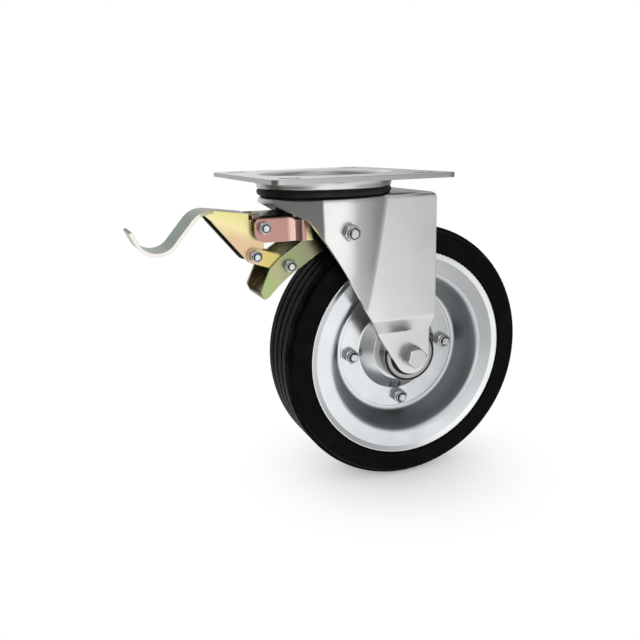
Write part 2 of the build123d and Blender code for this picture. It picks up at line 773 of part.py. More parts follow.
def make_shoe_pivot_spacers():
    """Tubes on the shoe's bolt: one between its plates and one out to each fork wall."""
    bore_r = shoe_bolt_r + pivot_play
    outer_r = shoe_bolt_r + spacer_wall
    wall = crown_wall_half() - fork_t - 1.6
    side = tube_y(shoe_pivot, outer_r, bore_r, shoe_half + side_play, wall)
    middle = tube_y(shoe_pivot, outer_r, bore_r, -shoe_inner + side_play, shoe_inner - side_play)
    return Compound(children=[side, mirror(side, about=Plane.XZ), middle])


def make_pedal_pivot_spacers():
    """Tubes on the pedal's bolt: one in the pedal and one out to each arm."""
    bore_r = brake_bolt_r + pivot_play
    outer_r = brake_bolt_r + spacer_wall
    side = tube_y(pedal_pivot, outer_r, bore_r, pedal_half + side_play, arm_inner)
    middle = tube_y(pedal_pivot, outer_r, bore_r, -pedal_inner + side_play, pedal_inner - side_play)
    return Compound(children=[side, mirror(side, about=Plane.XZ), middle])


def brake_bolt(place, seat_half):
    """Small pivot bolt of the brake."""
    return cross_bolt(place, brake_bolt_r, brake_bolt_af, brake_head_t, seat_half,
                      seat_half + brake_nut_t + 1.5)


def brake_nut(place, seat_half, turn):
    """Small self-locking nut of the brake."""
    return cross_nut(place, brake_bolt_r, brake_bolt_af, brake_nut_t, seat_half, turn)


nodes = {
    "top_plate": make_top_plate(),
    "kingpin": make_kingpin(),
    "kingpin_sleeve": make_kingpin_sleeve(),
    "kingpin_nut": make_kingpin_nut(),
    "lower_race_cup": make_lower_race_cup(),
    "swivel_seal": make_swivel_seal(),
    "upper_balls": ball_ring(upper_ball_count, upper_ring_r, upper_ball_d / 2, upper_ball_z),
    "lower_balls": ball_ring(lower_ball_count, lower_ring_r, lower_ball_d / 2, lower_ball_z),
    "fork": make_fork(),
    "axle_bolt": make_axle_bolt(),
    "axle_nut": make_axle_nut(),
    "axle_washers": make_axle_washers(),
    "axle_sleeve": make_axle_sleeve(),
    "hub_tube": make_hub_tube(),
    "bearing_outer_rings": bearing_ring(bearing_r - ring_wall, bearing_r),
    "bearing_inner_rings": bearing_ring(axle_sleeve_r, axle_sleeve_r + ring_wall),
    "bearing_balls": make_bearing_balls(),
    "hub_seals": make_hub_seals(),
    "rim_far": make_rim_far(),
    "rim_near": mirror(make_rim_far(), about=Plane.XZ),
    "rim_bolts": make_rim_bolts(),
    "rim_nuts": make_rim_nuts(),
    "tyre": make_tyre(),
    "brake_bracket": make_brake_bracket(),
    "bracket_spacers": make_bracket_spacers(),
    "bracket_rivets": make_bracket_rivets(),
    "brake_pedal": make_brake_pedal(),
    "brake_link_far": make_link_far(),
    "brake_link_near": mirror(make_link_far(), about=Plane.XZ),
    "brake_shoe": make_brake_shoe(),
    "shoe_pivot_bolt": make_shoe_pivot_bolt(),
    "shoe_pivot_nut": cross_nut(shoe_pivot, shoe_bolt_r, shoe_bolt_af, shoe_nut_t, crown_wall_half(), 8),
    "shoe_pivot_spacers": make_shoe_pivot_spacers(),
    "pedal_pivot_bolt": brake_bolt(pedal_pivot, bracket_half),
    "pedal_pivot_nut": brake_nut(pedal_pivot, bracket_half, 12),
    "pedal_pivot_spacers": make_pedal_pivot_spacers(),
    "link_pedal_bolt": brake_bolt(pedal_link_pivot, link_outer),
    "link_pedal_nut": brake_nut(pedal_link_pivot, link_outer, 25),
    "link_shoe_bolt": brake_bolt(shoe_link_pivot, shoe_half),
    "link_shoe_nut": brake_nut(shoe_link_pivot, shoe_half, 3),
}

os.makedirs("parts", exist_ok=True)
for name, shape in nodes.items():
    export_step(shape, f"parts/{name}.step")
    print(name, round(shape.volume), [round(v, 1) for v in shape.bounding_box().size])
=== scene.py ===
"""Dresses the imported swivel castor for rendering: materials, small fittings, light and camera."""
import json
import math

import bmesh
import bpy
from mathutils import Matrix, Vector


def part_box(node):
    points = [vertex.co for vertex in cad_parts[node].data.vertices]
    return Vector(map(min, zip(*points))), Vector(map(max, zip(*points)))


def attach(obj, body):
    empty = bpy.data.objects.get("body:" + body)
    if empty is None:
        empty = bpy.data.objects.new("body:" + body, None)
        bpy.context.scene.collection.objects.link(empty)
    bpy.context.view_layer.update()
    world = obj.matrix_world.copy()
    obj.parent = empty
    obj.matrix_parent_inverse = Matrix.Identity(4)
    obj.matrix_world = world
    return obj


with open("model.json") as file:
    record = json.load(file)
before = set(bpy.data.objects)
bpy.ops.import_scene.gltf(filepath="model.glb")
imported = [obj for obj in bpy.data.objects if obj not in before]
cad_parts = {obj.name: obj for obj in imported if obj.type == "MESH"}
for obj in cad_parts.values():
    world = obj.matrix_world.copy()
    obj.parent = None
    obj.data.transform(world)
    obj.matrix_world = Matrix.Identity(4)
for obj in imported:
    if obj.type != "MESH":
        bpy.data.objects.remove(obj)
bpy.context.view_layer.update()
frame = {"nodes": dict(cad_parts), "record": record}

nodes = frame["nodes"]
mm = 0.001
axle = Vector((73.5, 0.0, -175.0)) * mm
ground = -300 * mm


class Paint:
    """A procedural material under construction, measured in metres in the piece's own frame."""

    def __init__(self, name, metallic, roughness):
        self.material = bpy.data.materials.new(name)
        self.material.use_nodes = True
        self.tree = self.material.node_tree
        self.tree.nodes.clear()
        self.surface = self.add("ShaderNodeBsdfPrincipled")
        self.output = self.add("ShaderNodeOutputMaterial")
        self.show(self.surface)
        self.surface.inputs["Metallic"].default_value = metallic
        self.surface.inputs["Roughness"].default_value = roughness
        self.coords = self.add("ShaderNodeTexCoord")
        self.place = self.coords.outputs["Object"]

    def add(self, kind, **settings):
        node = self.tree.nodes.new(kind)
        for key, value in settings.items():
            setattr(node, key, value)
        return node

    def feed(self, socket, value):
        """Links a node's output to a socket, or sets the socket's own value."""
        if isinstance(value, bpy.types.NodeSocket):
            self.tree.links.new(value, socket)
        elif isinstance(value, tuple) and len(value) == 3 and socket.type == "RGBA":
            socket.default_value = (*value, 1.0)
        else:
            socket.default_value = value

    def show(self, shader):
        """Puts a shader on the surface."""
        self.tree.links.new(shader.outputs[0], self.output.inputs["Surface"])

    def glow(self, strength, shade=1.0):
        """Makes a plain grey or white emission."""
        node = self.add("ShaderNodeEmission")
        node.inputs["Color"].default_value = (shade, shade, shade, 1)
        node.inputs["Strength"].default_value = strength
        return node

    def blend(self, amount, first, second):
        """Mixes two shaders."""
        node = self.add("ShaderNodeMixShader")
        self.feed(node.inputs[0], amount)
        self.tree.links.new(first.outputs[0], node.inputs[1])
        self.tree.links.new(second.outputs[0], node.inputs[2])
        return node

    def math(self, operation, a, b=0.0):
        node = self.add("ShaderNodeMath", operation=operation)
        self.feed(node.inputs[0], a)
        self.feed(node.inputs[1], b)
        return node.outputs[0]

    def times(self, a, b):
        return self.math("MULTIPLY", a, b)

    def plus(self, a, b):
        return self.math("ADD", a, b)

    def less(self, a, b):
        return self.math("SUBTRACT", a, b)

    def size(self, a, b):
        """Gives the length of a flat pair of values."""
        return self.math("SQRT", self.plus(self.times(a, a), self.times(b, b)))

    def split(self, vector):
        node = self.add("ShaderNodeSeparateXYZ")
        self.feed(node.inputs[0], vector)
        return node.outputs

    def facing(self):
        """Gives X, Y and Z of the surface's own direction."""
        return self.split(self.coords.outputs["Normal"])

    def shift(self, vector, offset):
        node = self.add("ShaderNodeVectorMath", operation="ADD")
        self.feed(node.inputs[0], vector)
        node.inputs[1].default_value = offset
        return node.outputs[0]

    def noise(self, scale, detail=2.0, stretch=(1, 1, 1), vector=None):
        stretched = self.add("ShaderNodeVectorMath", operation="MULTIPLY")
        self.feed(stretched.inputs[0], vector or self.place)
        stretched.inputs[1].default_value = stretch
        node = self.add("ShaderNodeTexNoise")
        self.feed(node.inputs["Vector"], stretched.outputs[0])
        node.inputs["Scale"].default_value = scale
        node.inputs["Detail"].default_value = detail
        return node.outputs[0]

    def span(self, value, low, high, to_low=0.0, to_high=1.0, smooth=True):
        """Maps a value's range to another, held at the ends."""
        node = self.add("ShaderNodeMapRange")
        node.interpolation_type = "SMOOTHSTEP" if smooth else "LINEAR"
        for index, item in enumerate((value, low, high, to_low, to_high)):
            self.feed(node.inputs[index], item)
        return node.outputs[0]

    def mix(self, amount, first, second):
        """Mixes two colours."""
        node = self.add("ShaderNodeMix", data_type="RGBA")
        self.feed(node.inputs[0], amount)
        self.feed(node.inputs[6], first)
        self.feed(node.inputs[7], second)
        return node.outputs[2]

    def ramp(self, value, stops):
        """Gives a colour by value, between stops of a position and a colour."""
        node = self.add("ShaderNodeValToRGB")
        self.feed(node.inputs[0], value)
        items = node.color_ramp.elements
        while len(items) < len(stops):
            items.new(0.5)
        for item, (position, colour) in zip(items, stops):
            item.position = position
            item.color = (*colour, 1.0)
        return node.outputs[0]

    def colour(self, value):
        self.feed(self.surface.inputs["Base Color"], value)

    def roughness(self, value):
        self.feed(self.surface.inputs["Roughness"], value)

    def radius(self):
        """Distance from the axle's line."""
        parts = self.split(self.shift(self.place, tuple(-axle)))
        return self.size(parts[0], parts[2])

    def rings(self, scale, detail=3.0):
        """Fine circles round the axle, as a spinning tool leaves."""
        parts = self.split(self.place)
        line = self.add("ShaderNodeCombineXYZ")
        self.feed(line.inputs[0], self.radius())
        self.feed(line.inputs[1], self.times(parts[1], 0.5))
        return self.noise(scale, detail, vector=line.outputs[0])

    def edges(self, radius):
        """Gives 1 on sharp outer edges, within a small radius, and 0 on flat faces."""
        rounded = self.add("ShaderNodeBevel", samples=8)
        rounded.inputs["Radius"].default_value = radius
        flat = self.add("ShaderNodeNewGeometry")
        agree = self.add("ShaderNodeVectorMath", operation="DOT_PRODUCT")
        self.feed(agree.inputs[0], rounded.outputs[0])
        self.feed(agree.inputs[1], flat.outputs["Normal"])
        return self.span(agree.outputs["Value"], 0.80, 0.99, 1.0, 0.0)

    def bump(self, height, depth, edge=0.0):
        """Raises the surface by a height field, over edges rounded by a small radius."""
        node = self.add("ShaderNodeBump")
        self.feed(node.inputs["Height"], height)
        node.inputs["Distance"].default_value = depth
        node.inputs["Strength"].default_value = 1.0
        if edge > 0:
            bevel = self.add("ShaderNodeBevel", samples=6)
            bevel.inputs["Radius"].default_value = edge
            self.feed(node.inputs["Normal"], bevel.outputs[0])
        self.feed(self.surface.inputs["Normal"], node.outputs[0])


def shade_of(colour, share):
    """Gives a colour at a share of its brightness."""
    return tuple(part * share for part in colour)


def zinc_sheet(name, dark, light, streak):
    """Starts satin zinc on pressed sheet, with faint rolling streaks and clouding, and a painted
    highlight on its sharp edges.
    """
    paint = Paint(name, 1.0, 0.29)
    cloud = paint.noise(24.0, 3.0)
    streaks = paint.noise(520.0, 3.0, stretch=streak)
    tone = paint.plus(paint.times(cloud, 0.9), paint.times(streaks, 0.1))
    tint = paint.ramp(tone, [(0.35, dark), (0.65, light)])
    # Painted highlight: sharp edges blend half way to pale grey, as edges catching the light.
    tint = paint.mix(paint.times(paint.edges(0.5 * mm), 0.5), tint, (0.93, 0.93, 0.92))
    polish = paint.span(streaks, 0.3, 0.7, 0.275, 0.31)
    grain = paint.noise(2600.0, 2.0)
    paint.bump(paint.plus(paint.times(streaks, 0.1), paint.times(grain, 0.25)), 0.00002, 0.0007)
    return paint, tint, polish


def zinc_fork():
    """Satin zinc, with painted shade on its upward faces, where the crown top lies under the plate."""
    dark = (0.74, 0.735, 0.72)
    paint, tint, polish = zinc_sheet("fork zinc", dark, (0.80, 0.795, 0.78), (1, 1, 0.06))
    upward = paint.facing()[2]
    # Painted shade: upward faces get the dark tint at under half its brightness.
    paint.colour(paint.mix(paint.span(upward, 0.8, 0.97), tint, shade_of(dark, 0.45)))
    paint.roughness(polish)
    return paint.material


def zinc_plate():
    """Satin zinc with a rougher, lighter dish, painted shade on the dish walls that face the front, and
    duller cut edges.
    """
    dark = (0.64, 0.645, 0.64)
    dish_r = 59 * mm
    rim_r = 75 * mm
    paint, tint, polish = zinc_sheet("plate zinc", dark, (0.72, 0.725, 0.72), (0.05, 1, 1))
    spot = paint.split(paint.place)
    facing = paint.facing()
    out = paint.size(spot[0], spot[1])
    dish = paint.times(paint.span(spot[2], -5.5 * mm, -0.5 * mm, 1.0, 0.0),
                       paint.span(out, dish_r - 0.5 * mm, dish_r + 0.5 * mm, 1.0, 0.0))
    tint = paint.mix(dish, tint, shade_of(dark, 1.2))
    # Painted shade: dish walls that face the front get a darker copy of the tint.
    front_wall_shade = paint.span(facing[1], -0.35, -0.08, 1.0, 0.0)
    tint = paint.mix(paint.times(dish, front_wall_shade), tint, shade_of(dark, 0.8))
    side_on = paint.span(paint.math("ABSOLUTE", facing[2]), 0.3, 0.6, 1.0, 0.0)
    cut = paint.times(side_on, paint.span(out, rim_r, rim_r + 3 * mm))
    paint.colour(paint.mix(cut, tint, shade_of(dark, 0.76)))
    paint.roughness(paint.plus(polish, paint.times(dish, 0.3)))
    return paint.material


def zinc_rim():
    """Bright bluish zinc with the fine circles of a spun rim, and a rougher wall painted dark grey as
    shade.
    """
    wall_low, wall_high = 63 * mm, 84 * mm
    crease_r = 61.5 * mm
    paint = Paint("rim zinc", 1.0, 0.24)
    circles = paint.rings(900.0)
    cloud = paint.noise(30.0, 3.0)
    tone = paint.plus(paint.times(circles, 0.15), paint.times(cloud, 0.85))
    tint = paint.ramp(tone, [(0.3, (0.70, 0.72, 0.735)), (0.7, (0.80, 0.82, 0.835))])
    radius = paint.radius()
    wall = paint.times(paint.span(radius, wall_low, wall_low + 4 * mm),
                       paint.span(radius, wall_high - 10 * mm, wall_high, 1.0, 0.0))
    # Painted shade: the wall between the two radii is painted dark grey in place of the bright zinc.
    paint.colour(paint.mix(wall, tint, (0.24, 0.255, 0.265)))
    polish = paint.span(circles, 0.3, 0.7, 0.20, 0.24)
    paint.roughness(paint.plus(polish, paint.times(wall, 0.22)))
    ridge = paint.math("ABSOLUTE", paint.less(radius, crease_r))
    ridge = paint.span(ridge, 0.0, 0.7 * mm, 1.0, 0.0)
    paint.bump(paint.plus(paint.times(circles, 0.03), ridge), 0.00009, 0.0006)
    return paint.material


def zinc_fastener():
    """Bright zinc on nuts and bolts along Y, with painted shade on the flats."""
    paint = Paint("fastener zinc", 1.0, 0.26)
    knocks = paint.noise(420.0, 3.0)
    tint = paint.ramp(knocks, [(0.3, (0.60, 0.61, 0.625)), (0.7, (0.68, 0.69, 0.705))])
    along = paint.math("ABSOLUTE", paint.facing()[1])
    # Painted shade: faces that don't face along Y, such as the hex flats, get a dark grey.
    paint.colour(paint.mix(paint.span(along, 0.1, 0.45), (0.20, 0.205, 0.21), tint))
    paint.roughness(paint.span(knocks, 0.3, 0.7, 0.22, 0.28))
    paint.bump(knocks, 0.000005, 0.0003)
    return paint.material


def plain_steel(name, dark, light):
    """Turned and ground steel with a trace of oil."""
    paint = Paint(name, 1.0, 0.3)
    marks = paint.noise(700.0, 3.0, stretch=(1, 1, 6))
    oil = paint.noise(60.0, 2.0)
    paint.colour(paint.mix(oil, dark, light))
    paint.roughness(paint.span(marks, 0.3, 0.7, 0.22, 0.4))
    paint.bump(marks, 0.00003, 0.0004)
    return paint.material


def black_moulding():
    """Black seal material with a fine matt skin."""
    paint = Paint("black seal", 0.0, 0.5)
    skin = paint.noise(1500.0, 2.0)
    dust = paint.noise(70.0, 4.0)
    paint.colour(paint.ramp(dust, [(0.4, (0.006, 0.006, 0.006)), (0.8, (0.018, 0.018, 0.018))]))
    paint.roughness(paint.span(skin, 0.3, 0.7, 0.42, 0.6))
    paint.surface.inputs["Specular IOR Level"].default_value = 0.25
    paint.bump(skin, 0.00004, 0.0005)
    return paint.material


def bearing_seal():
    """Black sealing lips either side of a bare steel shield."""
    paint = Paint("bearing seal", 0.0, 0.4)
    skin = paint.noise(1500.0, 2.0)
    radius = paint.radius()
    shield = paint.times(paint.span(radius, 20.6 * mm, 21.0 * mm),
                         paint.span(radius, 23.4 * mm, 23.8 * mm, 1.0, 0.0))
    paint.colour(paint.mix(shield, (0.008, 0.008, 0.008), (0.50, 0.49, 0.48)))
    paint.feed(paint.surface.inputs["Metallic"], shield)
    paint.roughness(paint.span(skin, 0.3, 0.7, 0.34, 0.46))
    paint.surface.inputs["Specular IOR Level"].default_value = 0.25
    paint.bump(skin, 0.00003, 0.0005)
    return paint.material


def tyre_rubber():
    """Black rubber: circles on the sidewall, a fine skin and a trace of dust on the tread."""
    paint = Paint("tyre rubber", 0.0, 0.5)
    radius = paint.radius()
    circles = paint.rings(1300.0)
    skin = paint.noise(1800.0, 2.0)
    dust = paint.noise(55.0, 5.0, stretch=(1, 2, 1))
    tread = paint.span(radius, 120 * mm, 124 * mm)
    dusty = paint.times(paint.span(dust, 0.45, 0.75), paint.plus(0.2, paint.times(tread, 0.4)))
    paint.colour(paint.mix(dusty, (0.002, 0.002, 0.0023), (0.016, 0.0165, 0.018)))
    paint.roughness(paint.span(circles, 0.3, 0.7, 0.4, 0.55))
    paint.surface.inputs["Specular IOR Level"].default_value = 0.05
    height = paint.plus(circles, paint.times(skin, 0.4))
    for ring in (104.5, 107.5, 117.0):
        line = paint.math("ABSOLUTE", paint.less(radius, ring * mm))
        height = paint.plus(height, paint.span(line, 0.0, 0.5 * mm, 2.5, 0.0))
    paint.bump(height, 0.00009, 0.0008)
    return paint.material


def yellow_zinc(name, direction, low, high, stops, top=None, inner_shade=None, wander=0.22, top_run=None,
                tail=None):
    """Passivated zinc whose tint drifts across the piece, with painted shade on upward, inner and
    downward faces, and painted highlights along the edges.

    top holds the painted shade tints for upward faces, by drift, or along X if top_run gives the ends.
    inside holds half the piece's inner width, or 0 where only its inner faces differ, and two painted
    shade tints. tail holds two X places and a tint.
    """
    paint = Paint(name, 1.0, 0.3)
    along = paint.add("ShaderNodeVectorMath", operation="DOT_PRODUCT")
    paint.feed(along.inputs[0], paint.place)
    along.inputs[1].default_value = direction
    drift = paint.noise(38.0, 3.0)
    centred = paint.less(drift, 0.5)
    spot = paint.split(paint.place)
    facing = paint.facing()
    place = paint.span(along.outputs["Value"], low * mm, high * mm, smooth=False)
    tint = paint.ramp(paint.plus(place, paint.times(centred, wander)), stops)
    if tail:
        away = paint.span(spot[0], tail[0] * mm, tail[1] * mm, 1.0, 0.0)
        tint = paint.mix(away, tint, tail[2])
    # Painted shade: upward faces take a set of darker tints.
    if top:
        where = drift
        if top_run:
            where = paint.span(spot[0], top_run[0] * mm, top_run[1] * mm, smooth=False)
            where = paint.plus(where, paint.times(centred, 0.3))
        tint = paint.mix(paint.span(facing[2], 0.25, 0.55), tint, paint.ramp(where, top))
    # Painted shade: faces turned towards the middle, and all between the cheeks where a half width is
    # given, take dark tints.
    if inner_shade:
        half, first, second = inner_shade
        inward = paint.times(facing[1], paint.math("SIGN", spot[1]))
        inner_shade_mask = paint.span(inward, -0.7, -0.4, 1.0, 0.0)
        if half:
            between = paint.math("ABSOLUTE", spot[1])
            between = paint.span(between, (half + 0.4) * mm, (half + 0.9) * mm, 1.0, 0.0)
            inner_shade_mask = paint.math("MAXIMUM", inner_shade_mask, between)
        tint = paint.mix(inner_shade_mask, tint, paint.ramp(drift, [(0.4, first), (0.6, second)]))
    # Painted shade: faces turned downward go dark umber.
    tint = paint.mix(paint.span(facing[2], -0.6, -0.4, 1.0, 0.0), tint, shade_umber)
    grain = paint.noise(900.0, 3.0)
    # Painted highlight: sharp edges, mostly on side and lower faces, blend to a pale yellow.
    rim = paint.span(facing[2], 0.2, 0.5, 0.8, 0.1)
    tint = paint.mix(paint.times(paint.edges(0.9 * mm), rim), tint, (0.82, 0.84, 0.66))
    paint.colour(tint)
    paint.roughness(paint.span(grain, 0.3, 0.7, 0.26, 0.33))
    paint.bump(grain, 0.000012, 0.0006)
    return paint.material


def plain_plastic(name, colour):
    """Smooth hard plastic with a faint moulded skin."""
    paint = Paint(name, 0.0, 0.35)
    skin = paint.noise(2200.0, 2.0)
    paint.colour(paint.ramp(skin, [(0.3, colour), (0.7, shade_of(colour, 1.8))]))
    paint.roughness(paint.span(skin, 0.3, 0.7, 0.3, 0.45))
    paint.bump(skin, 0.00002)
    return paint.material


def wear(name, material):
    """Gives a CAD node its material."""
    for slot in nodes[name].material_slots:
        slot.material = material


fork_zinc = zinc_fork()
plate_zinc = zinc_plate()
rim_zinc = zinc_rim()
nut_zinc = zinc_fastener()
steel = plain_steel("turned steel", (0.34, 0.33, 0.31), (0.60, 0.59, 0.58))
# Near-black steel for the bracket rivets and spacers: painted shade, where they sit in shadow between
# crown and bracket.
shaded_steel = plain_steel("steel in painted shade", (0.05, 0.048, 0.044), (0.10, 0.095, 0.09))
seal_black = black_moulding()
rubber = tyre_rubber()

gold = (0.66, 0.55, 0.19)
pale = (0.75, 0.70, 0.30)
# Cream is the pedal's own tint, and a painted highlight on the bracket.
cream_tint_and_highlight = (0.86, 0.75, 0.39)
peach = (0.72, 0.53, 0.33)
pink = (0.50, 0.275, 0.235)
# Rose serves only as a painted highlight on the bracket's fold.
highlight_rose = (0.88, 0.56, 0.50)
mauve = (0.52, 0.29, 0.25)
green = (0.38, 0.47, 0.20)
sage = (0.29, 0.37, 0.17)
drab = (0.44, 0.42, 0.25)
shell = (0.80, 0.78, 0.72)
# Painted shade tint for the pedal's upward faces.
shade_teal = (0.17, 0.23, 0.18)
# Painted shade tint for tops and inner faces.
shade_olive = (0.06, 0.058, 0.028)
# Painted shade tint for undersides, inner faces, tops and the shoe's end by its pivot.
shade_umber = (0.045, 0.032, 0.017)
ash = (0.31, 0.315, 0.19)
# Painted shade tint for the pedal's top and the shoe's inner faces.
shade_bronze = (0.17, 0.125, 0.075)
# Painted shade tint for the shoe's inner faces.
shade_moss = (0.19, 0.19, 0.10)
# Painted shade tint for the pedal's upward faces.
shade_purple = (0.23, 0.19, 0.18)

# The pedal's upward faces take painted shade tints along X, and its inner faces painted shade too.
pedal_zinc = yellow_zinc("pedal zinc", (0.35, 0, 1), -98, -58,
                         [(0.0, peach), (0.35, peach), (0.6, cream_tint_and_highlight), (0.9, pale)],
                         top=[(0.0, shade_bronze), (0.08, shade_bronze), (0.15, shade_teal), (0.60, shade_teal), (0.74, shade_purple),
                              (0.92, shade_olive)],
                         inner_shade=(0, shade_umber, shade_olive), top_run=(-185, -85), tail=(-128, -108, shell))
# Along X the bracket's rose and cream bands are painted highlights where its folds catch the light; its
# top and inner faces get painted shade.
bracket_zinc = yellow_zinc("bracket zinc", (1, 0, 0), -75, -24,
                           [(0.0, pink), (0.56, pink), (0.63, highlight_rose), (0.72, highlight_rose), (0.77, mauve),
                            (0.87, mauve), (0.90, cream_tint_and_highlight), (1.0, cream_tint_and_highlight)],
                           top=[(0.3, shade_olive), (0.7, shade_umber)], inner_shade=(0, shade_umber, shade_olive), wander=0.04)
link_zinc = yellow_zinc("link zinc", (1, 0, 0), -80, -48, [(0.1, peach), (0.45, gold), (0.9, gold)])
spring_wire = yellow_zinc("spring wire", (1, 0, 0), -80, -60, [(0.2, gold), (0.8, (0.6, 0.42, 0.16))])
lock_plastic = plain_plastic("lock ring plastic", (0.006, 0.009, 0.02))
# The shoe's tint ends in dark umber by its pivot, as painted shade; its inner faces and all between its
# cheeks are painted shade too.
shoe_zinc = yellow_zinc("shoe zinc", (0.6, 0, 0.3), -70, -25,
                        [(0.0, green), (0.12, green), (0.25, drab), (0.48, sage), (0.66, ash),
                         (0.84, ash), (0.95, shade_umber)],
                        inner_shade=(21.3, shade_bronze, shade_moss))

wear("fork", fork_zinc)
for name in ("top_plate", "kingpin"):
    wear(name, plate_zinc)
for name in ("rim_near", "rim_far"):
    wear(name, rim_zinc)
for name in ("axle_bolt", "axle_nut", "axle_washers", "rim_bolts", "rim_nuts", "shoe_pivot_bolt",
             "shoe_pivot_nut", "shoe_pivot_spacers", "pedal_pivot_bolt", "pedal_pivot_nut",
             "pedal_pivot_spacers", "link_pedal_bolt", "link_pedal_nut", "link_shoe_bolt",
             "link_shoe_nut"):
    wear(name, nut_zinc)
# The rivets and spacers take the near-black steel of painted shade.
for name in ("bracket_rivets", "bracket_spacers"):
    wear(name, shaded_steel)
for name in ("kingpin_sleeve", "kingpin_nut", "lower_race_cup", "upper_balls", "lower_balls",
             "axle_sleeve", "hub_tube", "bearing_outer_rings", "bearing_inner_rings", "bearing_balls"):
    wear(name, steel)
wear("swivel_seal", seal_black)
wear("hub_seals", bearing_seal())
wear("tyre", rubber)
wear("brake_pedal", pedal_zinc)
wear("brake_bracket", bracket_zinc)
for name in ("brake_link_near", "brake_link_far"):
    wear(name, link_zinc)
wear("brake_shoe", shoe_zinc)


def body_of(node):
    """Gives the body that a CAD node belongs to."""
    for body, members in frame["record"]["behaviour"]["bodies"].items():
        if node in members:
            return body


def add_piece(name, data, body, material):
    """Puts a mesh or curve into the scene as a piece of a body."""
    piece = bpy.data.objects.new(name, data)
    data.materials.append(material)
    bpy.context.scene.collection.objects.link(piece)
    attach(piece, body)
    return piece


def turned_mesh(name, centre, profile, segments=32):
    """Makes a mesh of a closed profile, as radius and Y, turned about a line along Y."""
    mesh = bmesh.new()
    rows = []
    for step in range(segments):
        turn = 2 * math.pi * step / segments
        rows.append([mesh.verts.new((centre[0] + radius * math.cos(turn), y,
                                     centre[1] + radius * math.sin(turn))) for radius, y in profile])
    for step in range(segments):
        here = rows[step]
        after = rows[(step + 1) % segments]
        for index in range(len(profile)):
            following = (index + 1) % len(profile)
            mesh.faces.new((here[index], here[following], after[following], after[index]))
    bmesh.ops.recalc_face_normals(mesh, faces=mesh.faces)
    for face in mesh.faces:
        face.smooth = True
    data = bpy.data.meshes.new(name)
    mesh.to_mesh(data)
    mesh.free()
    data.set_sharp_from_angle(angle=math.radians(40))
    return data


def wire(name, points, radius):
    """Makes a round wire along a smooth run of points."""
    data = bpy.data.curves.new(name, "CURVE")
    data.dimensions = "3D"
    data.bevel_depth = radius
    data.bevel_resolution = 2
    data.use_fill_caps = True
    line = data.splines.new("POLY")
    line.points.add(len(points) - 1)
    for point, place in zip(line.points, points):
        point.co = (*place, 1.0)
    line.use_smooth = True
    return data


def helix(centre, radius, y_a, y_b, pitch, steps, start=0.0):
    """Gives points of a helix along Y, so many to a turn."""
    turns = abs(y_b - y_a) / pitch
    count = max(2, int(turns * steps))
    points = []
    for index in range(count + 1):
        share = index / count
        turn = start + 2 * math.pi * turns * share
        points.append(Vector((centre[0] + radius * math.cos(turn), y_a + (y_b - y_a) * share,
                              centre[1] + radius * math.sin(turn))))
    return points


def nut_places():
    """Lists each lock nut: its node, centre, bolt radius, flats and end face, in millimetres."""
    bolt_circle_r = 51.0
    first_turn = 2
    m6 = (3.0, 10.0)
    m8 = (4.0, 13.0)
    found = []
    for node, (shank, flats) in (("pedal_pivot_nut", m6), ("link_pedal_nut", m6),
                                 ("link_shoe_nut", m6), ("shoe_pivot_nut", m8)):
        low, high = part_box(node)
        centre = ((low[0] + high[0]) / 2 / mm, (low[2] + high[2]) / 2 / mm)
        found.append((node, centre, shank, flats, low[1] / mm))
    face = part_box("rim_nuts")[0][1] / mm
    for index in range(4):
        turn = math.radians(90 * index + first_turn)
        centre = (axle.x / mm + bolt_circle_r * math.cos(turn),
                  axle.z / mm + bolt_circle_r * math.sin(turn))
        found.append(("rim_nuts", centre, *m8, face))
    return found


def add_lock_rings():
    """Dark blue plastic rings set into the ends of the lock nuts, round the bolts."""
    for index, (node, centre, shank, flats, face) in enumerate(nut_places()):
        inner = shank + 0.06
        outer = (shank + 0.02 + 0.45 * flats) / 2 - 0.05
        front = face + 0.12
        shoulder = face + 0.3
        back = face + 0.78
        profile = [(inner, back), (inner, shoulder), (inner + 0.26, front), (outer - 0.3, front),
                   (outer, shoulder), (outer, back)]
        profile = [(radius * mm, y * mm) for radius, y in profile]
        data = turned_mesh(f"lock_ring_{index}", (centre[0] * mm, centre[1] * mm), profile)
        add_piece(f"lock_ring_{index}", data, body_of(node), lock_plastic)


def add_pedal_spring():
    """Wire spring in two coils round the pedal's pivot, each end hooked over the bracket's deck."""
    low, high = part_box("pedal_pivot_spacers")
    pivot = Vector(((low[0] + high[0]) / 2, 0, (low[2] + high[2]) / 2))
    coil_r = 6.1 * mm
    wire_r = 0.6 * mm
    pitch = 1.45 * mm
    inner_y = 1.6 * mm
    outer_y = 11.5 * mm
    hook = [(-76.15, -38.5), (-76.15, -34.0), (-75.8, -32.9), (-75.0, -32.5), (-71.0, -32.62),
            (-66.5, -32.75)]
    for side, label in ((-1, "near"), (1, "far")):
        coil = helix((pivot.x, pivot.z), coil_r, side * inner_y, side * outer_y, pitch, 20, 0.3)
        while coil[-1].z < pivot.z + 0.3 * coil_r or coil[-1].x > pivot.x - 0.8 * coil_r:
            coil.pop()
        y = coil[-1].y
        points = coil + [Vector((x * mm, y, z * mm)) for x, z in hook]
        data = wire(f"pedal_spring_{label}", points, wire_r)
        add_piece(f"pedal_spring_{label}", data, "fork", spring_wire)


def add_axle_thread():
    """Thread on the axle bolt's end, beyond its nut."""
    thread_r = 5.85 * mm
    ridge_r = 0.28 * mm
    pitch = 0.9 * mm
    bolt_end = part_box("axle_bolt")[1][1]
    nut_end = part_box("axle_nut")[1][1]
    points = helix((axle.x, axle.z), thread_r, nut_end + 0.3 * mm, bolt_end - pitch, pitch, 28)
    data = wire("axle_thread", points, ridge_r)
    add_piece("axle_thread", data, "fork", nut_zinc)


